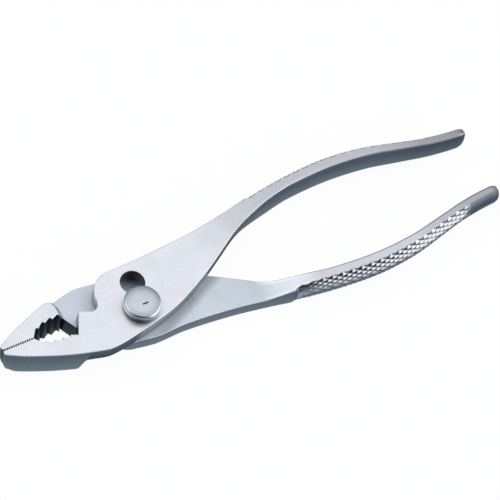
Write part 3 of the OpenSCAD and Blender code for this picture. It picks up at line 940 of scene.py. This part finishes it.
# side_dark and side_fade place the painted shade on the head's side, darker towards its foot
side_dark = 0.35
side_fade = 0.3
lathe_count = 96


def ring_points(r, z):
    turns = [math.tau * i / lathe_count for i in range(lathe_count)]
    return [Vector((r * math.cos(t), r * math.sin(t), z)) for t in turns]


def flatted_points(z):
    """Shank with two flats along the slot."""
    least_across = 1e-6
    points = []
    for p in ring_points(1, z):
        across = abs(p.x * math.cos(slot_lean) - p.y * math.sin(slot_lean))
        r = min(pin_d / 2, flat_w / 2 / max(across, least_across))
        points.append(Vector((r * p.x, r * p.y, z)))
    return points


def skinned(name, loops, materials, closed=False):
    """Object with a skin over loops of points, each with the number of its material. Its first and
    last loops are filled, or joined to each other where it is closed."""
    mesh = bmesh.new()
    rows = [[mesh.verts.new(p) for p in loop] for loop, _ in loops]
    pairs = list(zip(rows, rows[1:], loops[1:]))
    if closed:
        pairs.append((rows[-1], rows[0], loops[0]))
    for a, b, (_, material) in pairs:
        for i in range(len(a)):
            k = (i + 1) % len(a)
            mesh.faces.new((a[i], b[i], b[k], a[k])).material_index = material
    if not closed:
        for row, (_, material) in ((rows[0], loops[0]), (rows[-1], loops[-1])):
            centre = mesh.verts.new(sum((v.co for v in row), Vector()) / len(row))
            for i in range(len(row)):
                mesh.faces.new((row[i], row[(i + 1) % len(row)], centre)).material_index = material
    return finished(name, mesh, materials)


# Turning marks: fine rings round the axis of the bolt, where painted shade lies, and how near the
# rim is, for the painted shade towards it
rim_range = (2.6 * mm, 5.4 * mm)
turning_marks, inlet, outlet = new_group("turning_marks", {"Rings": 390.0}, ("Ring", "Sunk", "Rim"))
place = object_place(turning_marks)
ring = node(turning_marks, "ShaderNodeTexWave",
            {"Vector": place, "Scale": inlet.outputs["Rings"], "Distortion": 2.4, "Detail": 2.0,
             "Detail Scale": 1.5}, wave_type="RINGS", rings_direction="Z").outputs["Fac"]
rim = span(turning_marks, from_axis(turning_marks, place), *rim_range, curve="SMOOTHSTEP")
put_out(turning_marks, outlet, Ring=ring, Sunk=painted(turning_marks, "sunk"), Rim=rim)

ring_tones = (0.93, 1.03)
cloud_tones = (0.92, 1.05)
painted_shade_colour = (0.05, 0.055, 0.06)
ring_depth = 0.01 * mm


def turned(name, body, rim_shade, rough, rough_spread, bump):
    """Turned steel: its colour at the axis and the painted shade colour towards its rim, its
    roughness, and the bump of the rings."""
    material, tree, shader = new_metal(name)
    marks = effect(tree, turning_marks)
    grain = effect(tree, plated_grain)
    tone = combine(tree, "MULTIPLY", span(tree, marks["Ring"], 0.0, 1.0, *ring_tones),
                   span(tree, grain["Cloud"], *grain_range, *cloud_tones))
    # Painted shade: the turned face darker and bluer towards its rim
    colour = layer(tree, marks["Rim"], (*body, 1), (*rim_shade, 1))
    colour = layer(tree, 1.0, colour, tone, blend="MULTIPLY")
    # Painted shade: the dent of the centre mark and the foot of the head's side darkened
    colour = layer(tree, marks["Sunk"], colour, (*painted_shade_colour, 1))
    roughness = span(tree, grain["Speckle"], *grain_range,
                     rough - rough_spread, rough + rough_spread)
    finish_metal(tree, shader, colour, roughness, marks["Ring"], bump, ring_depth)
    return material


turned_steels = [
    turned("turned_steel", body=(0.63, 0.64, 0.69), rim_shade=(0.43, 0.48, 0.55),
           rough=0.26, rough_spread=0.05, bump=0.16),
    turned("polished_steel", body=(0.70, 0.71, 0.73), rim_shade=(0.70, 0.71, 0.73),
           rough=0.07, rough_spread=0.02, bump=0.03),
]
face_turned, side_polished = 0, 1
mark_rings = [0.02 * i for i in range(1, 18)]
outer_rings = [0.05 * i for i in range(8, 21)]
bolt_loops = []
for share in mark_rings + outer_rings:
    r = (crown_r - bolt_round) * share
    z = bolt_high.z - bolt_crown * (r / crown_r)**crown_power
    bolt_loops.append((ring_points(r, z), face_turned))
bolt_loops += [(ring_points(r, z), side_polished) for r, z in (
    (crown_r + bolt_round / 2, rim_z - bolt_round),
    (bolt_r - bolt_round / 2, rim_z - bolt_chamfer),
    (bolt_r, rim_z - bolt_chamfer - bolt_round),
    *((bolt_r, mix(head_foot, rim_z, share)) for share in side_shares),
    (bolt_r, head_foot + 2 * bolt_round),
    (bolt_r - bolt_round, head_foot),
)]
bolt_loops += [(flatted_points(z), side_polished) for z in (head_foot, half_t)]
bolt_loops += [(ring_points(r, z), side_polished) for r, z in (
    (pin_d / 2, half_t),
    (pin_d / 2, nut_high.z),
    (tail_r, nut_high.z),
    (tail_r, bolt_low.z + tail_chamfer),
)]
bolt_loops.append((ring_points(tail_r - tail_chamfer, bolt_low.z), face_turned))
pivot_bolt = skinned("pivot_bolt_turned", bolt_loops, turned_steels)
# Painted shade: dark in the dent of the centre mark, and on the head's side darker towards its foot
painted_shades = pivot_bolt.data.attributes.new("sunk", "FLOAT", "POINT")
for v, painted_shade in zip(pivot_bolt.data.vertices, painted_shades.data):
    off = v.co.xy - mark_centre
    if v.co.z > rim_z and abs(off.x) < mark_length / 2 and abs(off.y) < mark_width / 2:
        v.co.z -= mark_sink
        painted_shade.value = 1.0
    elif v.co.xy.length > crown_r:
        up_side = v.co.z - mix(head_foot, rim_z, side_dark)
        painted_shade.value = 1 - ease(up_side / (side_fade * (rim_z - head_foot)))
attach(pivot_bolt, "pivot")
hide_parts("pivot_bolt")


# Pivot nut: a round turned nut with a driver slot sawn across it, screwed on the bolt's tail and
# sunk in the counterbore at the back of the pin lever.

nut_r = (nut_high.x - nut_low.x) / 2
nut_chamfer = 0.3 * mm
nut_slot_w = 1.2 * mm
nut_slot_h = 0.7 * mm

nut_loops = [
    (ring_points(tail_r, nut_high.z), side_polished),
    (ring_points(nut_r - nut_chamfer, nut_high.z), face_turned),
    (ring_points(nut_r, nut_high.z - nut_chamfer), face_turned),
    (ring_points(nut_r, nut_low.z + nut_chamfer), side_polished),
    (ring_points(nut_r - nut_chamfer, nut_low.z), face_turned),
    (ring_points(tail_r + nut_chamfer, nut_low.z), face_turned),
    (ring_points(tail_r, nut_low.z + nut_chamfer), face_turned),
]
pivot_nut = skinned("pivot_nut_turned", nut_loops, turned_steels, closed=True)
saw_mesh = bpy.data.meshes.new("saw_cut")
saw = bpy.data.objects.new("saw_cut", saw_mesh)
bpy.context.collection.objects.link(saw)
saw_box = bmesh.new()
bmesh.ops.create_cube(saw_box, size=1)
bmesh.ops.scale(saw_box, vec=(4 * nut_r, nut_slot_w, 2 * nut_slot_h), verts=saw_box.verts)
bmesh.ops.translate(saw_box, vec=(0, 0, nut_low.z), verts=saw_box.verts)
saw_box.to_mesh(saw_mesh)
saw_box.free()
cut = pivot_nut.modifiers.new("driver_slot", "BOOLEAN")
cut.object = saw
cut.solver = "EXACT"
depsgraph = bpy.context.evaluated_depsgraph_get()
sawn = bpy.data.meshes.new_from_object(pivot_nut.evaluated_get(depsgraph))
pivot_nut.modifiers.remove(cut)
pivot_nut.data = sawn
bpy.data.objects.remove(saw)
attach(pivot_nut, "pivot")
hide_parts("pivot_nut")


# Studio: a plain white floor, a large soft light high behind the tool with a lamp to each side,
# and the camera's side kept dark. The camera stands above the nose and the lower handle, turned as
# in the photograph.

floor_size = 6.0
floor_gap = 0.02 * mm
floor_mesh = bpy.data.meshes.new("floor")
floor_mesh.from_pydata(
    [(-floor_size, -floor_size, 0), (floor_size, -floor_size, 0),
     (floor_size, floor_size, 0), (-floor_size, floor_size, 0)], [], [(0, 1, 2, 3)])
floor = bpy.data.objects.new("floor", floor_mesh)
floor.location.z = cad_low.z - floor_gap
bpy.context.collection.objects.link(floor)


def set_stops(ramp, stops):
    while len(ramp.color_ramp.elements) < len(stops):
        ramp.color_ramp.elements.new(1.0)
    for element, (position, colour) in zip(ramp.color_ramp.elements, stops):
        element.position = position
        element.color = (*colour, 1)


# Floor as the steel mirrors it, by the distance to it: a painted shadow, dark close by and paler
# further off
shade_reach = 60 * mm
shade_stops = [
    (0.0, (0.29, 0.34, 0.39)), (0.08, (0.22, 0.27, 0.32)), (0.19, (0.13, 0.165, 0.205)),
    (0.3, (0.22, 0.26, 0.31)), (1.0, (0.62, 0.67, 0.73)),
]
paper = bpy.data.materials.new("white_paper")
paper.use_nodes = True
tree = paper.node_tree
tree.nodes.clear()
path = node(tree, "ShaderNodeLightPath", {}).outputs
matte = node(tree, "ShaderNodeBsdfDiffuse", {"Color": (0.9, 0.9, 0.9, 1)})
glow = node(tree, "ShaderNodeEmission", {"Color": (1, 1, 1, 1), "Strength": 1.02})
seen = node(tree, "ShaderNodeMixShader",
            {"Fac": 0.93, 1: matte.outputs["BSDF"], 2: glow.outputs["Emission"]})
shade = node(tree, "ShaderNodeValToRGB",
             {"Fac": combine(tree, "DIVIDE", path["Ray Length"], shade_reach)})
set_stops(shade, shade_stops)
mirrored = node(tree, "ShaderNodeEmission", {"Color": shade.outputs["Color"], "Strength": 1.0})
both = node(tree, "ShaderNodeMixShader", {
    "Fac": path["Is Camera Ray"], 1: mirrored.outputs["Emission"], 2: seen.outputs["Shader"]})
node(tree, "ShaderNodeOutputMaterial", {"Surface": both.outputs["Shader"]})
floor_mesh.materials.append(paper)

# Light by its direction, and each lamp with where it starts, where it is full and its strength
light_way = Vector((0.247, 0.281, 0.927)).normalized()
right_way = Vector((0.76, -0.47, 0.44)).normalized()
left_way = Vector((-0.5, 0.4, 0.77)).normalized()
dark_way = Vector((-0.323, -0.369, 0.872)).normalized()
light_stops = [
    (0.0, (0.34, 0.38, 0.44)), (0.45, (0.10, 0.12, 0.15)), (0.68, (0.16, 0.19, 0.23)),
    (0.83, (0.35, 0.40, 0.47)), (0.91, (0.70, 0.75, 0.83)), (0.965, (1.02, 1.02, 1.05)),
    (1.0, (1.07, 1.07, 1.09)),
]
dark_range = (0.76, 0.92)
dark_share = 0.02
lamps = ((right_way, 0.7, 0.9, 1.5), (left_way, 0.82, 0.97, 1.4))
scene = bpy.context.scene
scene.world = bpy.data.worlds.new("studio_sky")
scene.world.use_nodes = True
tree = scene.world.node_tree
tree.nodes.clear()
place = node(tree, "ShaderNodeTexCoord", {})


def toward(way):
    return vectors(tree, "DOT_PRODUCT", place.outputs["Generated"], way)


ramp = node(tree, "ShaderNodeValToRGB", {"Fac": toward(light_way)})
set_stops(ramp, light_stops)
hidden = span(tree, toward(dark_way), *dark_range, 1.0, dark_share)
lit = layer(tree, 1.0, ramp.outputs["Color"], hidden, blend="MULTIPLY")
for way, start, full, strength in lamps:
    lit = layer(tree, 1.0, lit, span(tree, toward(way), start, full, 0.0, strength), blend="ADD")
path = node(tree, "ShaderNodeLightPath", {}).outputs
white = layer(tree, path["Is Camera Ray"], lit, (1, 1, 1, 1))
sky = node(tree, "ShaderNodeBackground", {"Color": white, "Strength": 1.0})
node(tree, "ShaderNodeOutputWorld", {"Surface": sky.outputs["Background"]})
scene.view_settings.view_transform = "Standard"

view_turn = math.radians(-41.21)
view_rise = math.radians(60.67)
view_roll = math.radians(15.43)
view_distance = 3.0
frame_width = 149.73 * mm
aim = Vector((39.19 * mm, 3.83 * mm, head_t))

back = Vector((
    math.sin(view_turn) * math.cos(view_rise), -math.cos(view_turn) * math.cos(view_rise),
    math.sin(view_rise)))
right = Vector((math.cos(view_turn), math.sin(view_turn), 0))
level = math.cos(view_roll) * right + math.sin(view_roll) * back.cross(right)
stand = Vector((0, 0, head_t)) + view_distance * back
look = (stand - aim).normalized()
across = (level - look * level.dot(look)).normalized()
camera = bpy.data.objects.new("camera", bpy.data.cameras.new("camera"))
camera.data.lens = camera.data.sensor_width * view_distance / frame_width
camera.data.clip_end = 20
camera.matrix_world = Matrix.Translation(stand) @ Matrix(
    (across, look.cross(across), look)).transposed().to_4x4()
bpy.context.collection.objects.link(camera)
scene.camera = camera
